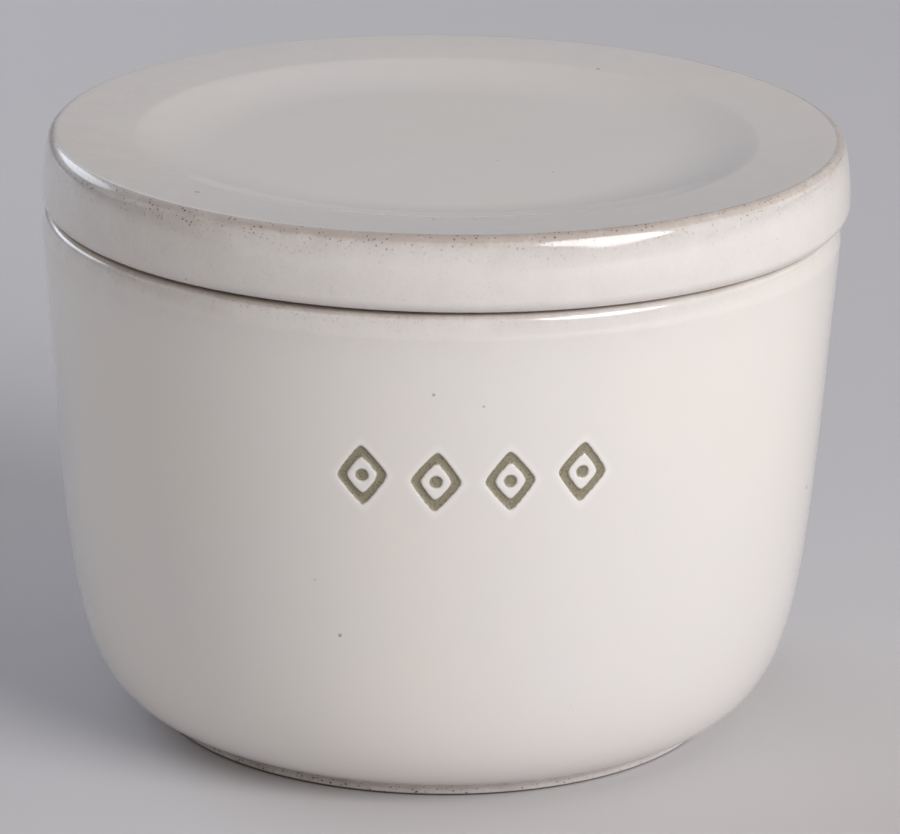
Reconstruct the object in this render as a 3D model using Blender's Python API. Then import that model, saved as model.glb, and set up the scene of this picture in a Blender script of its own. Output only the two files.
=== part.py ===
"""Salt cellar: a turned stoneware bowl with a loose, dished lid that lifts off.

Metres, +Z up. The origin is the middle of the foot, on the table, and the stamped row faces -Y.
Both pieces are turned round +Z. Every outline is a list of (radius, height) points.
"""
import math

import bmesh
import bpy
from mathutils import Matrix

# How finely the round shapes are cut
segments = 72
curve_steps = 10
arc_steps = 3
dot_sides = 10
merge_gap = 0.00001
cut_overrun = 0.002

# Bowl: outside
rim_radius = 0.0504
rim_height = 0.0660
rim_inset = 0.0003
rim_outer_round = 0.0009
rim_turn = 12
rim_ease = 0.00105
rim_inner_round = 0.0011
shoulder_drop = 0.0030
shoulder_ease = 0.00035
wall_lean = 0.0032
wall_lean_share = 0.71
belly_reach_share = 0.98
belly_rise = 0.0040

# Bowl: foot
foot_radius = 0.0360
foot_height = 0.0022
foot_width = 0.0040
foot_round = 0.0004
foot_cove = 0.0020
foot_cove_share = 0.11
foot_drop_share = 0.6
foot_recess = 0.0013

# Bowl: inside
rim_wall = 0.0048
belly_wall = 0.0050
floor_thickness = 0.0050
floor_inset = 0.0044
floor_reach_share = 0.98
floor_dip = 0.0003

# Lid: outside
seat_gap = 0.0003
lid_shift = 0.0005
lid_overhang = 0.0006
lid_height = 0.0095
lid_edge_inset = 0.0009
lid_edge_round = 0.00125
lid_edge_turn = 44
lid_brow_round = 0.0023
lid_brow_turn = 14
lid_brow_ease = 0.0010
lid_side_ease = 0.0030
lid_under_round = 0.0016

# Lid: dish in the top and its raised border
border_tilt = 4
dish_radius = 0.0394
dish_slope = 0.0125
dish_depth = 0.0024
dish_floor_ease = 0.0070
dish_lip_ease = 0.0016

# Lid: ring that drops into the mouth, and the hollow under the lid
ring_clearance = 0.0011
ring_height = 0.0040
ring_wall = 0.0034
ring_root_round = 0.0008
ring_tip_round = 0.0009
lid_middle = 0.0050
hollow_round = 0.0022

# Stamped row: four lozenges, each with a dot
stamp_height = 0.0455
stamp_pitch = 0.0089
stamp_half_width = 0.00330
stamp_half_height = 0.00415
stamp_stroke = 0.00115
stamp_dot_radius = 0.00078
stamp_depth = 0.00045
stamp_tilts = (3.0, -2.0, 1.5, -3.5)
stamp_lift_shares = (0.05, -0.07, -0.06, 0.08)

# Sizes that follow from the ones above
mouth_radius = rim_radius - rim_wall
floor_radius = foot_radius - floor_inset
floor_height = foot_recess + floor_thickness
lid_radius = rim_radius + lid_overhang
seat_height = rim_height + seat_gap
lid_top = seat_height + lid_height
ring_radius = mouth_radius - ring_clearance


def arc(centre, radius, start, end, steps=arc_steps):
    """Points on a round corner, from the angle start to end, in degrees from +radius towards +height."""
    turns = [math.radians(start + (end - start) * step / steps) for step in range(steps + 1)]
    return [(centre[0] + radius * math.cos(turn), centre[1] + radius * math.sin(turn)) for turn in turns]


def curve(start, start_handle, end_handle, end, steps=curve_steps):
    """Points on a cubic curve through start and end."""
    points = []
    for step in range(steps + 1):
        t = step / steps
        weights = ((1 - t) ** 3, 3 * t * (1 - t) ** 2, 3 * t * t * (1 - t), t**3)
        corners = (start, start_handle, end_handle, end)
        points.append(tuple(sum(w * c[axis] for w, c in zip(weights, corners)) for axis in (0, 1)))
    return points


def joined(*stretches):
    """One outline from several stretches, each shared end kept once."""
    outline = []
    for stretch in stretches:
        for point in stretch:
            if not outline or math.dist(point, outline[-1]) > merge_gap:
                outline.append(point)
    return outline


def onward(point, radius, start, end):
    """A round stretch that goes on from a point, where the surface faces up by start, until it faces by end."""
    turn = math.radians(start)
    centre = (point[0] - radius * math.cos(turn), point[1] - radius * math.sin(turn))
    return arc(centre, radius, start, end)


def down_from(point, facing, distance):
    """The place a distance further down a surface that faces up by an angle in degrees."""
    rise = math.radians(facing)
    return (point[0] + distance * math.sin(rise), point[1] - distance * math.cos(rise))


def outer_wall():
    """The bowl's outside, from the top of the rounded rim down to the side of the foot."""
    rim_corner = (rim_radius - rim_inset - rim_outer_round, rim_height - rim_outer_round)
    corner = arc(rim_corner, rim_outer_round, 90, rim_turn)
    shoulder = (rim_radius, rim_height - shoulder_drop)
    cove = (foot_radius + foot_cove, foot_height)
    wall_drop = (shoulder[1] - cove[1]) * wall_lean_share
    wall_facing = -math.degrees(math.atan2(wall_lean, wall_drop))
    wall_end = (shoulder[0] - wall_lean, shoulder[1] - wall_drop)
    belly = (cove[0] + (wall_end[0] - cove[0]) * belly_reach_share, cove[1] + belly_rise)
    cove_handle = tuple(c + (c - b) * foot_cove_share for c, b in zip(cove, belly))
    foot_handle = (foot_radius, foot_height * foot_drop_share)
    corner_handle = down_from(corner[-1], rim_turn, rim_ease)
    shoulder_handle = down_from(shoulder, wall_facing, -shoulder_ease)
    return joined(
        corner,
        curve(corner[-1], corner_handle, shoulder_handle, shoulder, arc_steps * 2),
        curve(shoulder, wall_end, belly, cove, curve_steps * 2),
        curve(cove, cove_handle, foot_handle, (foot_radius, foot_round), arc_steps * 2),
    )


def bowl_outline():
    """From the middle of the floor up the inside, over the rim, down the outside and under the foot."""
    mouth = (mouth_radius, rim_height - rim_inner_round)
    wall_end = (rim_radius - wall_lean - belly_wall, mouth[1] - (mouth[1] - floor_height) * wall_lean_share)
    floor_handle = (floor_radius + (wall_end[0] - floor_radius) * floor_reach_share, floor_height)
    inside = curve((floor_radius, floor_height), floor_handle, wall_end, mouth, curve_steps + arc_steps)
    foot_inside = foot_radius - foot_width
    return joined(
        [(0, floor_height - floor_dip)],
        inside,
        arc((mouth_radius + rim_inner_round, mouth[1]), rim_inner_round, 180, 90),
        outer_wall(),
        arc((foot_radius - foot_round, foot_round), foot_round, 0, -90),
        arc((foot_inside + foot_round, foot_round), foot_round, -90, -180),
        [(foot_inside - foot_round, foot_recess), (0, foot_recess)],
    )


def lid_outline():
    """From the middle of the dish over the border, down the side and under to the middle of the hollow."""
    edge = (lid_radius - lid_edge_inset - lid_edge_round, lid_top - lid_edge_round)
    corner = arc(edge, lid_edge_round, 90 + border_tilt, lid_edge_turn)
    brow = onward(corner[-1], lid_brow_round, lid_edge_turn, lid_brow_turn)
    border_width = corner[0][0] - dish_radius
    lip = (dish_radius, corner[0][1] - border_width * math.tan(math.radians(border_tilt)))
    lip_handle = down_from(lip, 90 + border_tilt, -dish_lip_ease)
    dish_floor = (dish_radius - dish_slope, lid_top - dish_depth)
    floor_handle = (dish_floor[0] + dish_floor_ease, dish_floor[1])
    under = (lid_radius - lid_under_round, seat_height + lid_under_round)
    side_start = down_from(brow[-1], lid_brow_turn, lid_brow_ease)
    side_end = (lid_radius, under[1] + lid_side_ease)
    ring_tip = seat_height - ring_height
    ring_inside = ring_radius - ring_wall
    hollow_top = dish_floor[1] - lid_middle
    return joined(
        [(0, dish_floor[1])],
        curve(dish_floor, floor_handle, lip_handle, lip),
        corner,
        brow,
        curve(brow[-1], side_start, side_end, (lid_radius, under[1]), arc_steps * 2),
        arc(under, lid_under_round, 0, -90),
        [(ring_radius + ring_root_round, seat_height), (ring_radius, seat_height - ring_root_round)],
        arc((ring_radius - ring_tip_round, ring_tip + ring_tip_round), ring_tip_round, 0, -90),
        arc((ring_inside + ring_tip_round, ring_tip + ring_tip_round), ring_tip_round, -90, -180),
        arc((ring_inside - hollow_round, hollow_top - hollow_round), hollow_round, 0, 90),
        [(0, hollow_top)],
    )


def wall_at(height):
    """The outer wall's radius at a height, and its lean there in radians."""
    outline = outer_wall()
    for upper, lower in zip(outline, outline[1:]):
        if upper[1] >= height > lower[1]:
            share = (height - lower[1]) / (upper[1] - lower[1])
            lean = math.atan2(upper[0] - lower[0], upper[1] - lower[1])
            return lower[0] + (upper[0] - lower[0]) * share, lean
    return rim_radius, 0


def glaze(name, colour, roughness):
    """A glazed finish of one colour."""
    made = bpy.data.materials.new(name)
    made.use_nodes = True
    shader = made.node_tree.nodes["Principled BSDF"]
    shader.inputs["Base Color"].default_value = (*colour, 1)
    shader.inputs["Roughness"].default_value = roughness
    shader.inputs["Metallic"].default_value = 0
    return made


def linked(name, mesh):
    """A new object that shows a mesh."""
    made = bpy.data.objects.new(name, mesh)
    bpy.context.scene.collection.objects.link(made)
    return made


def turned(name, outline, place, finish):
    """A solid turned round the upright axis through place, from an outline whose ends lie on that axis."""
    mesh = bpy.data.meshes.new(name)
    points = [(radius, 0, height - place[2]) for radius, height in outline]
    mesh.from_pydata(points, [(i, i + 1) for i in range(len(points) - 1)], [])
    mesh.materials.append(finish)
    made = linked(name, mesh)
    made.location = place
    screw = made.modifiers.new("turn", "SCREW")
    screw.axis = "Z"
    screw.steps = segments
    screw.render_steps = segments
    screw.use_merge_vertices = True
    screw.merge_threshold = merge_gap
    screw.use_smooth_shade = True
    return made


def ring_of(shape, loop, reach):
    """Adds the points of one closed loop of (across, up) places, at a distance out of the wall."""
    return [shape.verts.new((reach, across, up)) for across, up in loop]


def sides_between(shape, ring, other):
    """Adds the faces that join two rings of as many points."""
    for i in range(len(ring)):
        shape.faces.new((ring[i - 1], ring[i], other[i], other[i - 1]))


def pressed_frame(shape, outer, inner):
    """Adds the solid between two loops, from the stamp's depth to clear of the wall."""
    ends = ((outer, -stamp_depth), (outer, cut_overrun), (inner, cut_overrun), (inner, -stamp_depth))
    rings = [ring_of(shape, loop, reach) for loop, reach in ends]
    for i in range(len(rings)):
        sides_between(shape, rings[i - 1], rings[i])


def pressed_dot(shape, loop):
    """Adds the solid inside one loop, from the stamp's depth to clear of the wall."""
    deep = ring_of(shape, loop, -stamp_depth)
    clear = ring_of(shape, loop, cut_overrun)
    sides_between(shape, deep, clear)
    shape.faces.new(deep)
    shape.faces.new(clear)


def stamp_tool(index):
    """The tool that presses one lozenge and its dot into the wall, square to the wall's slope."""
    side_distance = stamp_half_width * stamp_half_height / math.hypot(stamp_half_width, stamp_half_height)
    inner_share = 1 - stamp_stroke / side_distance
    outer = [(stamp_half_width, 0), (0, stamp_half_height), (-stamp_half_width, 0), (0, -stamp_half_height)]
    inner = [(across * inner_share, up * inner_share) for across, up in outer]
    shape = bmesh.new()
    pressed_frame(shape, outer, inner)
    pressed_dot(shape, arc((0, 0), stamp_dot_radius, 0, 360, dot_sides)[:-1])
    bmesh.ops.recalc_face_normals(shape, faces=shape.faces)
    mesh = bpy.data.meshes.new(f"stamp_tool_{index}")
    shape.to_mesh(mesh)
    shape.free()
    tool = linked(mesh.name, mesh)
    tool.hide_render = True
    tool.display_type = "WIRE"
    height = stamp_height + stamp_lift_shares[index] * stamp_half_height
    radius, lean = wall_at(height)
    steps_from_middle = index - (len(stamp_tilts) - 1) / 2
    around = Matrix.Rotation(steps_from_middle * stamp_pitch / radius - math.pi / 2, 4, "Z")
    slope = Matrix.Rotation(lean, 4, "Y")
    tilt = Matrix.Rotation(math.radians(stamp_tilts[index]), 4, "X")
    tool.matrix_world = around @ Matrix.Translation((radius, 0, height)) @ slope @ tilt
    return tool


def build():
    """Clears the scene and makes the bowl and the lid."""
    for old in list(bpy.data.objects):
        bpy.data.objects.remove(old)
    bowl = turned("bowl", bowl_outline(), (0, 0, 0), glaze("bowl_glaze", (0.74, 0.72, 0.66), 0.34))
    turned("lid", lid_outline(), (lid_shift, 0, seat_height), glaze("lid_glaze", (0.74, 0.72, 0.67), 0.30))
    for index in range(len(stamp_tilts)):
        cut = bowl.modifiers.new(f"stamp_{index}", "BOOLEAN")
        cut.operation = "DIFFERENCE"
        cut.solver = "EXACT"
        cut.object = stamp_tool(index)


build()
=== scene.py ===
"""Looks of the salt cellar: stoneware under a cream glaze that breaks to brown where it runs thin.

Metres, +Z up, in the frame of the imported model. The bowl and the lid replace their CAD nodes with finer
meshes of the same outlines. Every unevenness, speck and stamped mark comes from a formula.
"""
import math

import bpy
import numpy as np
from mathutils import Matrix, Vector


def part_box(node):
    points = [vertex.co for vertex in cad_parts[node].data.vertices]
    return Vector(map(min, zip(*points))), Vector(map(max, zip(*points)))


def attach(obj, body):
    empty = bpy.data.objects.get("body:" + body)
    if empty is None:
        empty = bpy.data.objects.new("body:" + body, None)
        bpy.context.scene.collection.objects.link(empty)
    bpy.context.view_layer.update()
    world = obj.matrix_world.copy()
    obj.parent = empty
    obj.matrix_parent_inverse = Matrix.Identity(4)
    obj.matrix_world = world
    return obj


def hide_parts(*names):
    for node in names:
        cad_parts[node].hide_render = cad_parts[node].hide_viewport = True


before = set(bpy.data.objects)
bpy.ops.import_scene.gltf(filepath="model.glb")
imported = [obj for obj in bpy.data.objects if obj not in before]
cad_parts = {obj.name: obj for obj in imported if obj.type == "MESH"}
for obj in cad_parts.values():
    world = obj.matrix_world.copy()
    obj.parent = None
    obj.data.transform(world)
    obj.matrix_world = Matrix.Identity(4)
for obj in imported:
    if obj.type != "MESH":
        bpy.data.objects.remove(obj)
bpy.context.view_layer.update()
bowl_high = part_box("bowl")[1]
lid_low, lid_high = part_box("lid")

# Sizes read from the frame
rim_height = bowl_high.z
lid_top = lid_high.z
ring_tip = lid_low.z
lid_radius = (lid_high.y - lid_low.y) / 2
lid_centre = ((lid_low.x + lid_high.x) / 2, (lid_low.y + lid_high.y) / 2)

# Bowl: outside
rim_radius = 0.0504
rim_inset = 0.0003
rim_outer_round = 0.0009
rim_turn = 12
rim_ease = 0.00105
rim_inner_round = 0.0011
shoulder_drop = 0.0030
shoulder_ease = 0.00035
wall_lean = 0.0032
wall_lean_share = 0.71
belly_reach_share = 0.98
belly_rise = 0.0040

# Bowl: foot
foot_radius = 0.0360
foot_height = 0.0022
foot_width = 0.0040
foot_round = 0.0004
foot_cove = 0.0020
foot_cove_share = 0.11
foot_drop_share = 0.6
foot_recess = 0.0013

# Bowl: inside
rim_wall = 0.0048
belly_wall = 0.0050
floor_thickness = 0.0050
floor_inset = 0.0044
floor_reach_share = 0.98
floor_dip = 0.0003

# Lid
seat_gap = 0.0003
lid_edge_inset = 0.0009
lid_edge_round = 0.00125
lid_edge_turn = 44
lid_brow_round = 0.0023
lid_brow_turn = 14
lid_brow_ease = 0.0010
lid_side_ease = 0.0030
lid_under_round = 0.0016
border_tilt = 4
dish_radius = 0.0394
dish_slope = 0.0125
dish_depth = 0.0024
dish_floor_ease = 0.0070
dish_lip_ease = 0.0016
ring_clearance = 0.0011
ring_wall = 0.0034
ring_root_round = 0.0008
ring_tip_round = 0.0009
lid_middle = 0.0050
hollow_round = 0.0022

# Stamped row
stamp_height = 0.0455
stamp_pitch = 0.0089
stamp_half_width = 0.00330
stamp_half_height = 0.00415
stamp_stroke = 0.00115
stamp_dot_radius = 0.00078
stamp_depth = 0.00026
stamp_soft_edge = 0.00022
stamp_corner_share = 0.12
stamp_tilts = (3.0, -2.0, 1.5, -3.5)
stamp_lift_shares = (0.05, -0.07, -0.06, 0.08)

# Edges where the glaze breaks: they face up by these angles in degrees, and by less on the left
edge_low = 16
edge_high = 84
edge_soft = 24
edge_drop = 26
edge_drop_azimuth = math.radians(-190)

# Where the glaze runs thinner: below the edges and on the lid's border; below the bowl's rim and on the side
# of its foot this darkening is also painted shade
thin_and_shade_reach = 0.0025
rim_thin_and_shade_share = 0.65
border_thin_share = 0.32
border_thin_start = 0.022
foot_shade_share = 1.4
foot_shade_top_share = 1.3
foot_shade_full_share = 0.5

# Wear round the piece, and the painted shade under the bowl's rim and on its foot: all of it at this angle,
# and less by twice the swing opposite
wear_and_shade_azimuth = math.radians(-150)
wear_swing = 0.18
rim_wear_and_shade_swing = 0.38
foot_shade_swing = 0.3

# Unglazed clay: how far up the foot's glaze was cleaned off, as shares of its rounding, a dark band that also
# paints the contact shadow where the foot meets the floor, and how flat the lid's seat is
wiped_and_shaded_top_share = 1.2
wiped_and_shaded_full_share = 0.6
seat_rise_share = 0.025

# Unevenness of hand-made work: waves round the piece, in the order in which their numbers are drawn
wave_counts = (2, 3, 4, 5, 7)
wave_drift = 60
wave_free_radius = 0.03
wave_free_share = 4
bowl_wave = 0.00012
bowl_wave_seed = 3
lid_wave = 0.00007
lid_wave_seed = 8

# Fineness of the meshes
arc_steps = 8
curve_steps = 60
row_spacing = 0.0009
stamp_spacing = 0.0002
stamp_margin = 0.0012
column_angle = math.radians(2)

# Camera
camera_azimuth = math.radians(-4.94)
camera_reach = 0.66177
camera_height = 0.24976
camera_turn = math.radians(0.123)
camera_tilt = math.radians(17.772)
camera_roll = math.radians(0.879)
camera_lens = 217.6
sensor_width = 36.0

# Sizes that follow
mouth_radius = rim_radius - rim_wall
floor_radius = foot_radius - floor_inset
floor_height = foot_recess + floor_thickness
seat_height = rim_height + seat_gap
ring_radius = mouth_radius - ring_clearance


def arc(centre, radius, start, end):
    """Points on a round corner, from the angle start to end, in degrees from +radius towards +height."""
    turns = np.radians(np.linspace(start, end, arc_steps + 1))
    return [(centre[0] + radius * math.cos(turn), centre[1] + radius * math.sin(turn)) for turn in turns]


def curve(start, start_handle, end_handle, end):
    """Points on a cubic curve through start and end."""
    corners = np.array((start, start_handle, end_handle, end))
    t = np.linspace(0, 1, curve_steps + 1)[:, None]
    weights = np.hstack(((1 - t) ** 3, 3 * t * (1 - t) ** 2, 3 * t * t * (1 - t), t**3))
    return [tuple(point) for point in weights @ corners]


def joined(*stretches):
    """One outline from several stretches, each shared end kept once."""
    outline = []
    for stretch in stretches:
        for point in stretch:
            if not outline or math.dist(point, outline[-1]) > stamp_spacing / 10:
                outline.append(point)
    return outline


def onward(point, radius, start, end):
    """A round stretch from a point where the surface faces up by start to one where it faces up by end."""
    turn = math.radians(start)
    centre = (point[0] - radius * math.cos(turn), point[1] - radius * math.sin(turn))
    return arc(centre, radius, start, end)


def down_from(point, facing, distance):
    """The place a distance further down a surface that faces up by an angle in degrees."""
    rise = math.radians(facing)
    return (point[0] + distance * math.sin(rise), point[1] - distance * math.cos(rise))


def outer_wall():
    """The bowl's outside, from the top of the rounded rim down to the side of the foot."""
    rim_corner = (rim_radius - rim_inset - rim_outer_round, rim_height - rim_outer_round)
    corner = arc(rim_corner, rim_outer_round, 90, rim_turn)
    shoulder = (rim_radius, rim_height - shoulder_drop)
    cove = (foot_radius + foot_cove, foot_height)
    wall_drop = (shoulder[1] - cove[1]) * wall_lean_share
    wall_facing = -math.degrees(math.atan2(wall_lean, wall_drop))
    wall_end = (shoulder[0] - wall_lean, shoulder[1] - wall_drop)
    belly = (cove[0] + (wall_end[0] - cove[0]) * belly_reach_share, cove[1] + belly_rise)
    cove_handle = tuple(c + (c - b) * foot_cove_share for c, b in zip(cove, belly))
    foot_handle = (foot_radius, foot_height * foot_drop_share)
    corner_handle = down_from(corner[-1], rim_turn, rim_ease)
    shoulder_handle = down_from(shoulder, wall_facing, -shoulder_ease)
    return joined(
        corner,
        curve(corner[-1], corner_handle, shoulder_handle, shoulder),
        curve(shoulder, wall_end, belly, cove),
        curve(cove, cove_handle, foot_handle, (foot_radius, foot_round)),
    )


def bowl_outline():
    """From the middle of the floor up the inside, over the rim, down the outside and under the foot."""
    mouth = (mouth_radius, rim_height - rim_inner_round)
    inner_end = (rim_radius - wall_lean - belly_wall, mouth[1] - (mouth[1] - floor_height) * wall_lean_share)
    floor_handle = (floor_radius + (inner_end[0] - floor_radius) * floor_reach_share, floor_height)
    foot_inside = foot_radius - foot_width
    return joined(
        [(0, floor_height - floor_dip)],
        curve((floor_radius, floor_height), floor_handle, inner_end, mouth),
        arc((mouth_radius + rim_inner_round, mouth[1]), rim_inner_round, 180, 90),
        outer_wall(),
        arc((foot_radius - foot_round, foot_round), foot_round, 0, -90),
        arc((foot_inside + foot_round, foot_round), foot_round, -90, -180),
        [(foot_inside - foot_round, foot_recess), (0, foot_recess)],
    )


def lid_outline():
    """From the middle of the dish over the border, down the side and under to the middle of the hollow."""
    edge = (lid_radius - lid_edge_inset - lid_edge_round, lid_top - lid_edge_round)
    corner = arc(edge, lid_edge_round, 90 + border_tilt, lid_edge_turn)
    brow = onward(corner[-1], lid_brow_round, lid_edge_turn, lid_brow_turn)
    border_width = corner[0][0] - dish_radius
    lip = (dish_radius, corner[0][1] - border_width * math.tan(math.radians(border_tilt)))
    lip_handle = down_from(lip, 90 + border_tilt, -dish_lip_ease)
    dish_floor = (dish_radius - dish_slope, lid_top - dish_depth)
    under = (lid_radius - lid_under_round, seat_height + lid_under_round)
    side_start = down_from(brow[-1], lid_brow_turn, lid_brow_ease)
    side_end = (lid_radius, under[1] + lid_side_ease)
    ring_inside = ring_radius - ring_wall
    hollow_top = dish_floor[1] - lid_middle
    return joined(
        [(0, dish_floor[1])],
        curve(dish_floor, (dish_floor[0] + dish_floor_ease, dish_floor[1]), lip_handle, lip),
        corner,
        brow,
        curve(brow[-1], side_start, side_end, (lid_radius, under[1])),
        arc(under, lid_under_round, 0, -90),
        [(ring_radius + ring_root_round, seat_height), (ring_radius, seat_height - ring_root_round)],
        arc((ring_radius - ring_tip_round, ring_tip + ring_tip_round), ring_tip_round, 0, -90),
        arc((ring_inside + ring_tip_round, ring_tip + ring_tip_round), ring_tip_round, -90, -180),
        arc((ring_inside - hollow_round, hollow_top - hollow_round), hollow_round, 0, 90),
        [(0, hollow_top)],
    )


def in_stamp_band(radius, height):
    """Whether a place on an outline lies on the wall outside, within reach of the stamps."""
    reach = stamp_half_height * (1 + max(stamp_lift_shares)) + stamp_margin
    return radius > mouth_radius and abs(height - stamp_height) < reach


def resampled(outline):
    """The outline with its long stretches split: finely where the stamps are, and evenly elsewhere."""
    points = [outline[0]]
    for start, end in zip(outline, outline[1:]):
        spacing = stamp_spacing if in_stamp_band(*start) or in_stamp_band(*end) else row_spacing
        count = max(1, math.ceil(math.dist(start, end) / spacing))
        for step in range(1, count + 1):
            share = step / count
            points.append((start[0] + (end[0] - start[0]) * share, start[1] + (end[1] - start[1]) * share))
    return np.array(points)


def outline_normals(points):
    """The direction out of the clay at each point of an outline."""
    ahead = np.diff(points, axis=0)
    ahead /= np.linalg.norm(ahead, axis=1)[:, None]
    along = np.vstack((ahead[:1], ahead[:-1] + ahead[1:], ahead[-1:]))
    along /= np.linalg.norm(along, axis=1)[:, None]
    return np.column_stack((-along[:, 1], along[:, 0]))


def smooth_step(low, high, value):
    """0 below low, 1 above high, and a smooth rise between them."""
    share = np.clip((value - low) / (high - low), 0, 1)
    return share * share * (3 - 2 * share)


def edge_line(points, normals, angles):
    """1 on the outer top edge of a piece, where the glaze breaks, and 0 away from it."""
    facing = np.degrees(np.arctan2(normals[:, 1:], normals[:, :1]))
    upper = edge_high - edge_drop * np.maximum(np.cos(angles - edge_drop_azimuth), 0)
    below = smooth_step(edge_low, edge_low + edge_soft, facing)
    above = smooth_step(upper + edge_soft / 2, upper, facing)
    return below * above * (points[:, :1] > mouth_radius + rim_wall / 2)


def run_along(points):
    """The distance along an outline from its start to each of its points."""
    return np.concatenate(([0], np.cumsum(np.linalg.norm(np.diff(points, axis=0), axis=1))))


def thinning_and_shade(points, line):
    """1 on the edge line, fading out down the side below it."""
    run = run_along(points)
    past = (run - run[line.max(axis=1) > 0.5].max())[:, None]
    return np.where(past > 0, np.exp(-np.maximum(past, 0) / thin_and_shade_reach), line)


def wear_and_shade(angles, swing):
    """How worn the edges are at each angle round the piece, and on the bowl how deep the painted shade is:
    most on the left.
    """
    return 1 - swing + swing * np.cos(angles - wear_and_shade_azimuth)


def bowl_angles():
    """The angles of the bowl's columns, close together where the stamps are."""
    half = (stamp_pitch * len(stamp_tilts) / 2 + stamp_margin) / rim_radius
    fine = np.arange(-half, half, stamp_spacing / rim_radius)
    count = round((2 * math.pi - 2 * half) / column_angle)
    coarse = np.linspace(half, 2 * math.pi - half, count, endpoint=False)
    return np.concatenate((fine, coarse)) - math.pi / 2


def rounded(share):
    """The size of a share whatever its sign, flattened near zero, which rounds a lozenge's corners."""
    return np.hypot(share, stamp_corner_share) - stamp_corner_share


def stamp_distance(angles, points):
    """Distance from each place on the wall to the edge of the nearest stamped stroke, negative inside it."""
    side = stamp_half_width * stamp_half_height / math.hypot(stamp_half_width, stamp_half_height)
    middle_share = 1 - stamp_stroke / side / 2
    straight = 2 * rounded(0.5)
    nearest = np.full((len(points), len(angles)), rim_radius)
    for index, (tilt, lift) in enumerate(zip(stamp_tilts, stamp_lift_shares)):
        steps_from_middle = index - (len(stamp_tilts) - 1) / 2
        across = (angles[None, :] + math.pi / 2) * points[:, :1] - steps_from_middle * stamp_pitch
        up = points[:, 1:] - stamp_height - lift * stamp_half_height + 0 * across
        cosine, sine = math.cos(math.radians(tilt)), math.sin(math.radians(tilt))
        across, up = across * cosine + up * sine, up * cosine - across * sine
        lozenge = (rounded(across / stamp_half_width) + rounded(up / stamp_half_height)) / straight
        frame_edge = np.abs(lozenge - middle_share) * side - stamp_stroke / 2
        dot_edge = np.hypot(across, up) - stamp_dot_radius
        nearest = np.minimum(nearest, np.minimum(frame_edge, dot_edge))
    nearest[points[:, 0] <= mouth_radius] = rim_radius
    return nearest


def waves(angles, points, seed, size):
    """Slow unevenness of hand-made work, out of the clay: a few waves round it that drift with height."""
    random = np.random.default_rng(seed)
    total = np.zeros((len(points), len(angles)))
    run = run_along(points)[:, None]
    for count in wave_counts:
        start = random.uniform(0, 2 * math.pi)
        drift = random.uniform(-wave_drift, wave_drift)
        total += size / count * np.sin(count * angles[None, :] + start + drift * run)
    return total * smooth_step(0, wave_free_radius, points[:, :1])


def turned_mesh(name, points, angles, offset, centre, marks):
    """A closed mesh from an outline turned round the upright axis, moved out along its normals by offset.

    Each of marks is kept on the mesh as a number per vertex, for the glaze to read.
    """
    normals = outline_normals(points)
    radius = points[1:-1, :1] + normals[1:-1, :1] * offset[1:-1]
    height = points[1:-1, 1:] + normals[1:-1, 1:] * offset[1:-1]
    rows, columns = radius.shape
    x = centre[0] + radius * np.cos(angles)
    y = centre[1] + radius * np.sin(angles)
    grid = np.stack((x, y, height), axis=-1)
    first = (*centre, points[0, 1] + offset[0].mean() * normals[0, 1])
    last = (*centre, points[-1, 1] + offset[-1].mean() * normals[-1, 1])
    verts = [first, *map(tuple, grid.reshape(-1, 3)), last]
    here = 1 + np.arange(rows * columns).reshape(rows, columns)
    right = np.roll(here, -1, axis=1)
    quads = np.stack((here[:-1], here[1:], right[1:], right[:-1]), axis=-1).reshape(-1, 4)
    faces = quads.tolist()
    faces += [(0, int(a), int(b)) for a, b in zip(here[0], right[0])]
    faces += [(len(verts) - 1, int(b), int(a)) for a, b in zip(here[-1], right[-1])]
    mesh = bpy.data.meshes.new(name)
    mesh.from_pydata(verts, [], faces)
    mesh.shade_smooth()
    for mark, values in marks.items():
        layer = mesh.attributes.new(mark, "FLOAT", "POINT")
        spread = np.broadcast_to(values, (len(points), columns))
        ends = spread[[0, -1]].mean(axis=1)
        flat = np.concatenate((ends[:1], spread[1:-1].ravel(), ends[1:]))
        layer.data.foreach_set("value", flat.astype(np.float32))
    made = bpy.data.objects.new(name, mesh)
    bpy.context.scene.collection.objects.link(made)
    return made


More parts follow.
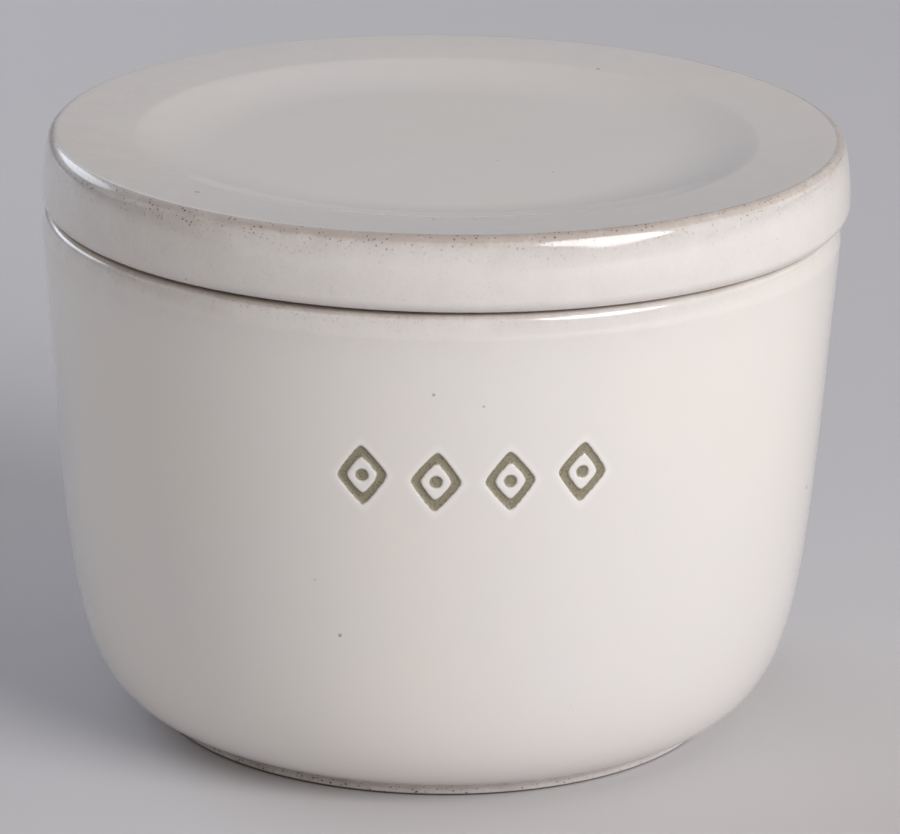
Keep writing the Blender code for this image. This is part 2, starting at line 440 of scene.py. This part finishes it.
class Shader:
    """A small helper that adds nodes to one material and links them."""

    def __init__(self, name):
        self.material = bpy.data.materials.new(name)
        self.material.use_nodes = True
        self.tree = self.material.node_tree
        self.surface = self.tree.nodes["Principled BSDF"]
        self.place = self.node("ShaderNodeTexCoord").outputs["Object"]

    def node(self, kind, settings=None, **inputs):
        """Adds a node. An input is a number, a colour or another node's output."""
        made = self.tree.nodes.new(kind)
        for key, value in (settings or {}).items():
            setattr(made, key, value)
        for key, value in inputs.items():
            self.put(made.inputs[key.replace("_", " ")], value)
        return made

    def put(self, socket, value):
        """Sets a socket to a value, or links an output to it."""
        if isinstance(value, bpy.types.NodeSocket):
            self.tree.links.new(value, socket)
        else:
            socket.default_value = value

    def mark(self, name):
        """A number that the mesh keeps per vertex."""
        return self.node("ShaderNodeAttribute", {"attribute_name": name}).outputs["Fac"]

    def noise(self, size, detail=2.0, roughness=0.5):
        """Noise round 0.5 whose features are about this size in metres."""
        made = self.node(
            "ShaderNodeTexNoise", Vector=self.place, Scale=1 / size, Detail=detail, Roughness=roughness
        )
        return made.outputs["Fac"]

    def math(self, operation, first, second=0.0, third=0.0):
        """One sum or product."""
        made = self.node("ShaderNodeMath", {"operation": operation})
        for socket, value in zip(made.inputs, (first, second, third)):
            self.put(socket, value)
        return made.outputs["Value"]

    def ramp(self, value, low, high, to_low=0.0, to_high=1.0):
        """A smooth rise from to_low to to_high as value goes from low to high."""
        made = self.node("ShaderNodeMapRange", {"interpolation_type": "SMOOTHSTEP"})
        for key, number in (("Value", value), ("From Min", low), ("From Max", high)):
            self.put(made.inputs[key], number)
        made.inputs["To Min"].default_value = to_low
        made.inputs["To Max"].default_value = to_high
        return made.outputs["Result"]

    def mix(self, share, first, second):
        """One colour over another, by a share."""
        made = self.node("ShaderNodeMix", {"data_type": "RGBA"})
        for socket, value in zip((made.inputs[0], made.inputs[6], made.inputs[7]), (share, first, second)):
            self.put(socket, value)
        return made.outputs[2]

    def scaled(self, value, share):
        """A number times a share."""
        return self.math("MULTIPLY", value, share)

    def varied(self, value, noise, share):
        """A number made uneven by a share of a noise round 0.5."""
        return self.math("MULTIPLY_ADD", self.math("SUBTRACT", noise, 0.5), share, value)

    def specks(self, size, widest, kept):
        """Small round spots, 1 inside a spot: about size apart, and only a share of them kept."""
        cells = self.node("ShaderNodeTexVoronoi", Vector=self.place, Scale=1 / size)
        lot = self.node("ShaderNodeSeparateColor", Color=cells.outputs["Color"])
        chosen = self.math("LESS_THAN", lot.outputs["Red"], kept)
        width = self.math("MULTIPLY", lot.outputs["Green"], widest / size)
        spot = self.ramp(self.math("SUBTRACT", width, cells.outputs["Distance"]), 0.0, widest / size / 3)
        return self.math("MULTIPLY", spot, chosen)


# Colours, as linear values
cream = (0.748, 0.711, 0.698, 1)
cream_warm = (0.750, 0.713, 0.681, 1)
cream_cool = (0.735, 0.708, 0.705, 1)
# Darker cream where the glaze runs thinner, also used as painted shade under the bowl's rim and on its foot
thin_and_shaded_cream = (0.412, 0.364, 0.352, 1)
thin_glaze = (0.450, 0.385, 0.352, 1)
iron = (0.130, 0.085, 0.055, 1)
# The foot's unglazed clay, drawn much darker than clay as painted contact shadow where the foot meets the
# floor
foot_clay_and_contact_shadow = (0.060, 0.044, 0.034, 1)
seat_clay = (0.500, 0.380, 0.280, 1)
stain = (0.258, 0.232, 0.163, 1)
stain_dark = (0.140, 0.118, 0.080, 1)
pale_glaze = (0.830, 0.815, 0.800, 1)
glaze_ior = 1.6


# Glaze: sizes of its features in metres, and how strongly each shows
tone_size = 0.035
mottle_size = 0.006
mottle_share = 0.5
wander_size = 0.004
wander_share = 1.3
grain_size = 0.0006
grain_share = 0.9
thin_and_shade_share = 0.6
broken_from = 0.10
broken_to = 0.95
broken_share = 0.75
satin_size = 0.012
satin_low = 0.08
satin_high = 0.11
broken_rough = 0.08
bare_rough = 0.45

# Iron specks: how far apart, their widest radius, the share kept, and how strongly they show
edge_specks = (0.00045, 0.0002, 0.95)
edge_specks_share = 0.7
large_specks = (0.0055, 0.00040, 0.22)
large_specks_share = 0.55
small_specks = (0.0031, 0.00026, 0.16)
small_specks_share = 0.35

# Bare clay
clay_grain_size = 0.0005
clay_iron_share = 0.25

# Stamps: distances from the stroke in millimetres, as the mark on the mesh has them
millimetre = 0.001
stamp_rough_size = 0.0006
stamp_rough_share = 0.28
halo_reach = 1.3
halo_full = 0.25
halo_share = 0.5
lip_reach = 0.17
lip_full = 0.04
lip_share = 0.35
stain_soft_edge = 0.06
stain_grain_size = 0.00026

# Relief of the glaze in metres
swell_size = 0.012
swell_height = 0.00002
peel_size = 0.0016
peel_height = 0.000005
pit_height = 0.00006


def stamped_glaze(s, colour):
    """The colour with the stained strokes in it, and where they are."""
    distance = s.varied(s.mark("stamp"), s.noise(stamp_rough_size, 3, 0.6), stamp_rough_share)
    colour = s.mix(s.scaled(s.ramp(distance, halo_reach, halo_full), halo_share), colour, pale_glaze)
    colour = s.mix(s.scaled(s.ramp(distance, lip_reach, lip_full), lip_share), colour, thin_glaze)
    inside = s.ramp(distance, stain_soft_edge, -stain_soft_edge)
    speckle = s.ramp(s.noise(stain_grain_size, 2, 0.7), 0.50, 0.68)
    return s.mix(inside, colour, s.mix(speckle, stain, stain_dark)), inside


def glazed(name, clay, stamped):
    """Cream satin glaze over speckled stoneware, brown where it breaks over an edge, left unglazed low on the
    foot and on the lid's seat; the bowl's darker rim and foot are partly painted shade.
    """
    s = Shader(name)
    tone = s.ramp(s.noise(tone_size, 3), 0.35, 0.65)
    mottle = s.ramp(s.noise(mottle_size, 4, 0.6), 0.3, 0.7)
    colour = s.mix(tone, cream_warm, cream_cool)
    colour = s.mix(s.scaled(mottle, mottle_share), colour, cream)
    grain = s.noise(grain_size, 3, 0.7)
    uneven = s.varied(s.varied(1.0, s.noise(wander_size, 3, 0.6), wander_share), grain, grain_share)
    # Darker where the glaze runs thinner; on the bowl the same darkening also paints the shade under the rim
    # and on the foot
    thin_and_shade = s.scaled(s.mark("thin_and_shade"), uneven)
    colour = s.mix(s.scaled(thin_and_shade, thin_and_shade_share), colour, thin_and_shaded_cream)
    broken = s.ramp(s.scaled(s.mark("edge"), uneven), broken_from, broken_to)
    colour = s.mix(s.scaled(broken, broken_share), colour, thin_glaze)
    on_thin = s.scaled(s.specks(*edge_specks), s.scaled(thin_and_shade, thin_and_shade))
    colour = s.mix(s.scaled(on_thin, edge_specks_share), colour, iron)
    colour = s.mix(s.scaled(s.specks(*large_specks), large_specks_share), colour, iron)
    colour = s.mix(s.scaled(s.specks(*small_specks), small_specks_share), colour, iron)
    # Unglazed clay; on the bowl's foot its very dark colour and its band, higher on the left, are painted
    # contact shadow
    bare_and_shade = s.mark("bare_and_shade")
    rough = bare_and_shade
    if stamped:
        colour, inside = stamped_glaze(s, colour)
        rough = s.math("MAXIMUM", bare_and_shade, inside)
    iron_grain = s.ramp(s.noise(clay_grain_size, 3, 0.7), 0.4, 0.75, 0.0, clay_iron_share)
    colour = s.mix(bare_and_shade, colour, s.mix(iron_grain, clay, iron))
    s.put(s.surface.inputs["Base Color"], colour)
    satin = s.ramp(s.noise(satin_size, 3), 0.3, 0.7, satin_low, satin_high)
    satin = s.math("MULTIPLY_ADD", rough, bare_rough, satin)
    s.put(s.surface.inputs["Roughness"], s.math("MULTIPLY_ADD", broken, broken_rough, satin))
    swell = s.scaled(s.noise(swell_size, 1), swell_height)
    peel = s.scaled(s.noise(peel_size, 2), peel_height)
    pits = s.scaled(s.scaled(grain, rough), pit_height)
    relief = s.math("ADD", s.math("ADD", swell, peel), pits)
    bump = s.node("ShaderNodeBump", Height=relief, Distance=1.0, Strength=1.0)
    s.put(s.surface.inputs["Normal"], bump.outputs["Normal"])
    s.surface.inputs["IOR"].default_value = glaze_ior
    return s.material


def dressed(piece, node, finish):
    """Puts a piece in the place of its CAD node, with its finish."""
    piece.data.materials.append(finish)
    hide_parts(node)
    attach(piece, node)


def glazed_bowl():
    """The bowl, with its stamped row."""
    points = resampled(bowl_outline())
    angles = bowl_angles()
    normals = outline_normals(points)
    distance = stamp_distance(angles, points)
    pressed = smooth_step(stamp_soft_edge / 2, -stamp_soft_edge, distance)
    height = points[:, 1:]
    standing = smooth_step(foot_height, foot_height * wave_free_share, height)
    offset = waves(angles, points, bowl_wave_seed, bowl_wave) * standing - stamp_depth * pressed
    on_foot = points[:, :1] > foot_radius - foot_width - foot_round
    # Painted shade where the foot meets the floor, strongest on the left: the dark unglazed band reaches
    # higher and the glaze above it darkens
    foot_shade_by_angle = wear_and_shade(angles, foot_shade_swing)
    wiped_and_contact_shade = smooth_step(foot_round * wiped_and_shaded_top_share, foot_round * wiped_and_shaded_full_share, height / foot_shade_by_angle)
    painted_foot_shade = smooth_step(foot_height * foot_shade_top_share, foot_height * foot_shade_full_share, height)
    painted_foot_shade = painted_foot_shade * foot_shade_by_angle**2 * foot_shade_share
    line = edge_line(points, normals, angles)
    # Darker glaze below the rim: partly glaze running thinner there, partly painted shade under the lid's
    # overhang, strongest on the left
    rim_wear_and_shade = wear_and_shade(angles, rim_wear_and_shade_swing) * rim_thin_and_shade_share
    marks = {
        "edge": line * rim_wear_and_shade,
        "thin_and_shade": thinning_and_shade(points, line) * rim_wear_and_shade + painted_foot_shade * on_foot,
        "bare_and_shade": wiped_and_contact_shade * on_foot,
        "stamp": distance / millimetre,
    }
    bowl = turned_mesh("glazed_bowl", points, angles, offset, (0, 0), marks)
    dressed(bowl, "bowl", glazed("bowl_stoneware", foot_clay_and_contact_shadow, True))


def glazed_lid():
    """The lid, turned round its own axis."""
    points = resampled(lid_outline())
    angles = np.arange(0, 2 * math.pi, column_angle)
    normals = outline_normals(points)
    offset = waves(angles, points, lid_wave_seed, lid_wave)
    offset -= offset.max()
    seat_top = seat_height + lid_under_round * seat_rise_share
    seat = (points[:, 1:] < seat_top) & (points[:, :1] > ring_radius)
    line = edge_line(points, normals, angles)
    border = smooth_step(border_thin_start, lid_radius, points[:, :1]) * border_thin_share
    lid_wear = wear_and_shade(angles, wear_swing)
    marks = {
        "edge": line * lid_wear,
        "thin_and_shade": np.maximum(thinning_and_shade(points, line), border) * lid_wear,
        "bare_and_shade": seat.astype(float),
    }
    lid = turned_mesh("glazed_lid", points, angles, offset, lid_centre, marks)
    dressed(lid, "lid", glazed("lid_stoneware", seat_clay, False))


# Stage
floor_colour = (0.589, 0.574, 0.594, 1)
floor_half_width = 2.0
floor_front = -1.5
floor_back = 0.9
sweep_radius = 0.5
sweep_steps = 16
wall_height = 1.6
paper_roughness = 0.9
paper_specular = 0.2
sky_colour = (0.95, 0.97, 1.0, 1)
sky_strength = 0.005


def backdrop():
    """A pale floor that sweeps up into a wall behind the object."""
    turns = [math.radians(90 * step / sweep_steps) for step in range(sweep_steps + 1)]
    side = [(floor_front, 0)]
    side += [(floor_back + sweep_radius * math.sin(t), sweep_radius * (1 - math.cos(t))) for t in turns]
    side.append((floor_back + sweep_radius, wall_height))
    verts = [(x, y, z) for y, z in side for x in (-floor_half_width, floor_half_width)]
    faces = [(2 * i, 2 * i + 1, 2 * i + 3, 2 * i + 2) for i in range(len(side) - 1)]
    mesh = bpy.data.meshes.new("paper_sweep")
    mesh.from_pydata(verts, [], faces)
    mesh.shade_smooth()
    made = bpy.data.objects.new("paper_sweep", mesh)
    bpy.context.scene.collection.objects.link(made)
    paper = bpy.data.materials.new("paper")
    paper.use_nodes = True
    surface = paper.node_tree.nodes["Principled BSDF"]
    surface.inputs["Base Color"].default_value = floor_colour
    surface.inputs["Roughness"].default_value = paper_roughness
    surface.inputs["Specular IOR Level"].default_value = paper_specular
    mesh.materials.append(paper)


def softbox(name, azimuth, elevation, distance, width, height, power, colour):
    """A soft oval light aimed at the object. Its angles are in degrees, azimuth 0 in front and 90 right."""
    light = bpy.data.lights.new(name, "AREA")
    light.shape = "ELLIPSE"
    light.size = width
    light.size_y = height
    light.energy = power
    light.color = colour
    made = bpy.data.objects.new(name, light)
    turn, rise = math.radians(azimuth), math.radians(elevation)
    back = Vector((math.sin(turn) * math.cos(rise), -math.cos(turn) * math.cos(rise), math.sin(rise)))
    aim = Vector((0, 0, lid_top / 2))
    made.location = aim + back * distance
    made.rotation_euler = (-back).to_track_quat("-Z", "Y").to_euler()
    bpy.context.scene.collection.objects.link(made)


def lighting():
    """A window-like softbox at the front right, a smaller one behind on the left, and pale glows round it."""
    softbox("key", 42, 25, 1.25, 0.84, 0.82, 13.1, (1.0, 0.985, 0.97))
    softbox("rear_left", -140, 23, 1.0, 0.66, 0.36, 2.2, (0.84, 0.90, 1.0))
    softbox("glow_rear_left", -131, 36, 1.0, 1.6, 1.3, 3.0, (0.72, 0.83, 1.0))
    softbox("glow_right", 85, 30, 1.5, 2.0, 1.6, 4.6, (0.96, 1.0, 0.91))
    softbox("glow_rear_right", 125, 32, 1.5, 1.6, 1.4, 2.6, (1.0, 0.92, 0.89))
    softbox("glow_front_low", -30, 12, 1.0, 1.6, 0.8, 2.0, (0.95, 0.98, 0.90))
    softbox("glow_front_high", 20, 55, 1.5, 2.4, 1.6, 2.2, (1.0, 0.84, 0.80))
    softbox("glow_left", -70, 25, 1.5, 2.0, 1.4, 2.5, (1.0, 0.86, 0.72))
    world = bpy.data.worlds.new("room")
    bpy.context.scene.world = world
    world.use_nodes = True
    sky = world.node_tree.nodes["Background"]
    sky.inputs["Color"].default_value = sky_colour
    sky.inputs["Strength"].default_value = sky_strength


def photo_camera():
    """The photograph's camera, from the outlines of the lid, the rim and the foot."""
    data = bpy.data.cameras.new("photo_camera")
    data.lens = camera_lens
    data.sensor_width = sensor_width
    made = bpy.data.objects.new("photo_camera", data)
    place = Matrix.Rotation(camera_azimuth, 4, "Z") @ Vector((0, -camera_reach, camera_height))
    turn = Matrix.Rotation(camera_azimuth - camera_turn, 4, "Z")
    tilt = Matrix.Rotation(math.pi / 2 - camera_tilt, 4, "X")
    roll = Matrix.Rotation(camera_roll, 4, "Z")
    made.matrix_world = Matrix.Translation(place) @ turn @ tilt @ roll
    bpy.context.scene.collection.objects.link(made)
    bpy.context.scene.camera = made


photo_camera()
backdrop()
lighting()
glazed_bowl()
glazed_lid()
bpy.context.scene.view_settings.view_transform = "Standard"
